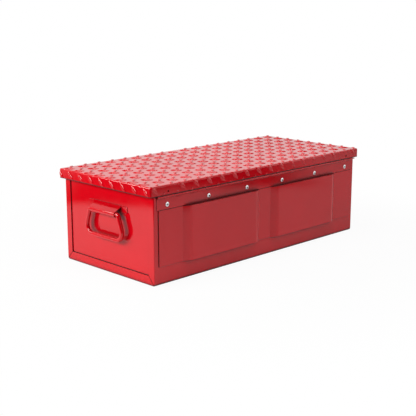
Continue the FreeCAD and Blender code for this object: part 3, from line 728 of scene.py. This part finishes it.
class TOOLBOX_OT_tread_lid(bpy.types.Operator):
    """Folds the lid's sheet and rolls the tread lozenges into it"""
    bl_idname = "toolbox.tread_lid"
    bl_label = "Tread lid"

    def execute(self, context):
        sizes = context.scene.toolbox_lid
        piece = new_piece("tread_lid", *lid_pan(sizes), "gloss_red_lid", "lid", "lid_paint")
        build = bmesh.new()
        build.from_mesh(drilled(piece, hole_cutters(sizes)))
        fill(build, *tread_relief(sizes))
        build.to_mesh(piece.data)
        build.free()
        piece.data.update()
        smooth(piece.data, sharp_from=32)
        normals = piece.modifiers.new("flat plate", "WEIGHTED_NORMAL")
        normals.keep_sharp = True
        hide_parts("lid")
        return {"FINISHED"}


class TOOLBOX_OT_body(bpy.types.Operator):
    """Paints the body sheet and the end panels and softens their folds"""
    bl_idname = "toolbox.body"
    bl_label = "Body"

    def execute(self, context):
        details = context.scene.toolbox_details
        dress("body_shell", "gloss_red_body", details.body_edge)
        for node in ("right_end_panel", "left_end_panel"):
            dress(node, "gloss_red_body", details.panel_edge)
        return {"FINISHED"}


class TOOLBOX_OT_weld_marks(bpy.types.Operator):
    """Sets the faint spot-weld marks on the long walls"""
    bl_idname = "toolbox.weld_marks"
    bl_label = "Weld marks"

    def execute(self, context):
        details = context.scene.toolbox_details
        verts = []
        faces = []
        for side, (x, z) in product((1, -1), WELD_PLACES):
            rings = []
            for scale, rise in WELD_RINGS:
                r = details.weld_radius * scale
                y = side * (WALL_Y + FIELD_RISE + rise * details.weld_rise)
                rings.append([(x + r * math.cos(a), y, z + r * math.sin(a))
                              for a in turns(WELD_SIDES)])
            stack_rings(verts, faces, rings, side)
        piece = new_piece("spot_weld_marks", verts, faces, "gloss_red_body", "case", "body_paint")
        smooth(piece.data, sharp_from=60)
        return {"FINISHED"}


class TOOLBOX_OT_hinge(bpy.types.Operator):
    """Paints the full-length hinge"""
    bl_idname = "toolbox.hinge"
    bl_label = "Hinge"

    def execute(self, context):
        edge = context.scene.toolbox_details.hinge_edge
        for node in ("hinge_body_leaf", "hinge_lid_leaf", "hinge_pin"):
            dress(node, "gloss_red_hinge", edge)
        return {"FINISHED"}


def torn_mandrel(details, index, centre, seat, side):
    """Rings of one broken mandrel, torn a little differently in each rivet of a row."""
    rings = []
    for ring, (scale, rise) in enumerate(MANDREL_RINGS):
        r = details.mandrel_radius * scale
        points = []
        for a in turns(MANDREL_SIDES):
            torn = TORN_SHARE * math.sin(3 * a + 1.7 * index) * (ring >= MANDREL_COLLAR)
            y = seat + side * details.mandrel_depth * (rise + torn - MANDREL_SINK)
            points.append((centre.x + r * math.cos(a), y, centre.z + r * math.sin(a)))
        rings.append(points)
    return rings


class TOOLBOX_OT_rivets(bpy.types.Operator):
    """Brightens the rivets and sets a broken mandrel in each"""
    bl_idname = "toolbox.rivets"
    bl_label = "Rivets"

    def execute(self, context):
        details = context.scene.toolbox_details
        for node, (_, side, body) in RIVET_ROWS.items():
            dress(node, "bright_rivet")
            low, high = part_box(node)
            seat = (high.y if side > 0 else low.y) - side * details.mandrel_depth
            verts = []
            faces = []
            for index, centre in enumerate(rivet_centres(node)):
                stack_rings(verts, faces, torn_mandrel(details, index, centre, seat, side), side)
            piece = new_piece(node.replace("rivets", "rivet_mandrels"), verts, faces,
                              "broken_mandrel", body, "rivet_aluminium")
            smooth(piece.data, sharp_from=40)
        return {"FINISHED"}


class TOOLBOX_OT_handles(bpy.types.Operator):
    """Paints the drop handles and their brackets"""
    bl_idname = "toolbox.handles"
    bl_label = "Handles"

    def execute(self, context):
        edge = context.scene.toolbox_details.bracket_edge
        for side in ("right", "left"):
            dress(f"{side}_handle_bracket", "gloss_red_handle", edge)
            dress(f"{side}_handle", "gloss_red_handle")
        return {"FINISHED"}


class TOOLBOX_OT_hasp(bpy.types.Operator):
    """Plates the hasp and its staple"""
    bl_idname = "toolbox.hasp"
    bl_label = "Hasp and staple"

    def execute(self, context):
        edge = context.scene.toolbox_details.hasp_edge
        for node in ("hasp_bracket", "hasp_pin", "hasp_strap", "staple_plate"):
            dress(node, "zinc_hasp", edge)
        dress("staple_loop", "zinc_hasp")
        return {"FINISHED"}


def soft_box(name, place, aim, width, height, watts):
    """Rectangular soft lamp that faces a point."""
    lamp = bpy.data.lights.new(name, "AREA")
    lamp.shape = "RECTANGLE"
    lamp.size = width
    lamp.size_y = height
    lamp.energy = watts
    holder = bpy.data.objects.new(name, lamp)
    holder.location = place
    holder.rotation_mode = "QUATERNION"
    holder.rotation_quaternion = (Vector(aim) - Vector(place)).to_track_quat("-Z", "Y")
    bpy.context.scene.collection.objects.link(holder)


def pale_floor(name, floor_colour, studio):
    """White sheet under the box that keeps a soft shadow and fades out into the surround."""
    material, nodes, place = new_finish(name)
    path = nodes.add("ShaderNodeLightPath").outputs
    out = nodes.add("ShaderNodeVectorMath", {0: place}, operation="LENGTH").outputs["Value"]
    seen_share = nodes.ramp(out, studio.floor_shadow, studio.floor_near, studio.floor_seen, 1.0)
    mirrored = nodes.math("MAXIMUM", path["Is Glossy Ray"], path["Is Transmission Ray"])
    white_share = nodes.math("ADD", nodes.math("MULTIPLY", path["Is Camera Ray"], seen_share),
                             nodes.math("MULTIPLY", mirrored, studio.floor_mirrored))
    matte = nodes.add("ShaderNodeBsdfDiffuse", {"Color": opaque(floor_colour)})
    white = nodes.add("ShaderNodeEmission", {"Color": (1.0, 1.0, 1.0, 1.0), "Strength": 1.0})
    sheet = nodes.add("ShaderNodeMixShader",
                      {0: white_share, 1: matte.outputs[0], 2: white.outputs[0]})
    nearer = nodes.dot(place, (math.sin(studio.azimuth), -math.cos(studio.azimuth), 0.0))
    gone = nodes.math("MULTIPLY", nodes.ramp(out, studio.floor_near, studio.floor_far),
                      nodes.ramp(nearer, *FADE_SIDE))
    nothing = nodes.add("ShaderNodeBsdfTransparent")
    faded = nodes.add("ShaderNodeMixShader", {0: gone, 1: sheet.outputs[0], 2: nothing.outputs[0]})
    nodes.add("ShaderNodeOutputMaterial", {"Surface": faded.outputs[0]})
    return material


def white_surround(name, studio):
    """White to the eye; in the paint a white backdrop stands beyond the box and the rest is dim."""
    world = bpy.data.worlds.new(name)
    world.use_nodes = True
    nodes = Nodes(world.node_tree)
    path = nodes.add("ShaderNodeLightPath").outputs
    seen = nodes.math("MAXIMUM", path["Is Camera Ray"], path["Is Transmission Ray"])
    look = nodes.add("ShaderNodeTexCoord").outputs["Generated"]
    height = nodes.upward(look)
    beyond = nodes.dot(look, (-math.sin(studio.azimuth), math.cos(studio.azimuth), 0.0))
    upright = nodes.math("MAXIMUM", nodes.ramp(height, *BACKDROP_FOOT),
                         nodes.ramp(beyond, *BACKDROP_BEYOND))
    backdrop = nodes.math("MULTIPLY", nodes.ramp(beyond, *BACKDROP_SIDE), upright)
    backdrop = nodes.math("MULTIPLY", backdrop,
                          nodes.ramp(height, *BACKDROP_TOP, 1.0, BACKDROP_TOP_SHARE))
    mirrored = nodes.math("MULTIPLY", path["Is Glossy Ray"],
                          nodes.ramp(backdrop, 0.0, 1.0, studio.dark, 1.0))
    lighting = nodes.math("MULTIPLY", path["Is Diffuse Ray"], studio.ambient)
    level = nodes.math("MAXIMUM", nodes.math("MAXIMUM", seen, mirrored), lighting)
    sky = nodes.add("ShaderNodeBackground", {"Color": (1.0, 1.0, 1.0, 1.0), "Strength": level})
    nodes.add("ShaderNodeOutputWorld", {"Surface": sky.outputs[0]})
    return world


def studio_floor(scene):
    """Square floor just under the box."""
    studio = scene.toolbox_studio
    reach = studio.floor_reach
    corners = ((-reach, -reach), (reach, -reach), (reach, reach), (-reach, reach))
    mesh = bpy.data.meshes.new("studio_floor")
    mesh.from_pydata([(x, y, -FLOOR_DROP) for x, y in corners], [], [(0, 1, 2, 3)])
    mesh.materials.append(pale_floor("pale_floor", scene.toolbox_colours.floor, studio))
    floor = bpy.data.objects.new("studio_floor", mesh)
    scene.collection.objects.link(floor)


def photo_camera(scene):
    """Camera at the photograph's place and viewing angle."""
    studio = scene.toolbox_studio
    turn = studio.azimuth
    rise = studio.elevation
    lens = bpy.data.cameras.new("photo_camera")
    lens.sensor_fit = "HORIZONTAL"
    lens.sensor_width = studio.sensor
    lens.lens = studio.lens
    camera = bpy.data.objects.new("photo_camera", lens)
    camera.location = studio.camera_place
    towards = Vector((-math.sin(turn) * math.cos(rise), math.cos(turn) * math.cos(rise),
                      -math.sin(rise)))
    camera.rotation_mode = "QUATERNION"
    camera.rotation_quaternion = towards.to_track_quat("-Z", "Y")
    scene.collection.objects.link(camera)
    scene.camera = camera


class TOOLBOX_OT_stage(bpy.types.Operator):
    """Sets the pale floor, the soft lamps, the white surround and the camera"""
    bl_idname = "toolbox.stage"
    bl_label = "Studio"

    def execute(self, context):
        scene = context.scene
        studio = scene.toolbox_studio
        scene.view_settings.view_transform = "Standard"
        studio_floor(scene)
        scene.world = white_surround("studio_surround", studio)
        for name, (place, aim, width, height, setting) in LAMPS.items():
            soft_box(name, place, aim, width, height, getattr(studio, setting))
        photo_camera(scene)
        return {"FINISHED"}


OPERATORS = (TOOLBOX_OT_stage, TOOLBOX_OT_body, TOOLBOX_OT_weld_marks, TOOLBOX_OT_tread_lid,
             TOOLBOX_OT_hinge, TOOLBOX_OT_rivets, TOOLBOX_OT_handles, TOOLBOX_OT_hasp)
GROUPS = {
    "toolbox_lid": ToolboxLidSizes,
    "toolbox_details": ToolboxDetailSizes,
    "toolbox_colours": ToolboxColours,
    "toolbox_studio": ToolboxStudio,
}


class TOOLBOX_PT_panel(bpy.types.Panel):
    """Lists the tool box's sizes, colours and steps"""
    bl_label = "Tool box"
    bl_idname = "TOOLBOX_PT_panel"
    bl_space_type = "VIEW_3D"
    bl_region_type = "UI"
    bl_category = "Tool box"

    def draw(self, context):
        for operator in OPERATORS:
            self.layout.operator(operator.bl_idname, text=operator.bl_label)
        for holder, group in GROUPS.items():
            box = self.layout.box()
            box.label(text=group.__doc__)
            for name in group.__annotations__:
                box.prop(getattr(context.scene, holder), name)


CLASSES = tuple(GROUPS.values()) + OPERATORS + (TOOLBOX_PT_panel,)


def register():
    """Adds the classes and their settings."""
    for item in CLASSES:
        bpy.utils.register_class(item)
    for holder, group in GROUPS.items():
        setattr(bpy.types.Scene, holder, PointerProperty(type=group))


def unregister():
    """Takes the settings and classes away again."""
    for holder in GROUPS:
        delattr(bpy.types.Scene, holder)
    for item in reversed(CLASSES):
        bpy.utils.unregister_class(item)


def main():
    """Dresses the tool box and sets up its studio."""
    register()
    bpy.ops.toolbox.stage()
    bpy.ops.toolbox.body()
    bpy.ops.toolbox.weld_marks()
    bpy.ops.toolbox.tread_lid()
    bpy.ops.toolbox.hinge()
    bpy.ops.toolbox.rivets()
    bpy.ops.toolbox.handles()
    bpy.ops.toolbox.hasp()


if __name__ == "__main__":
    main()
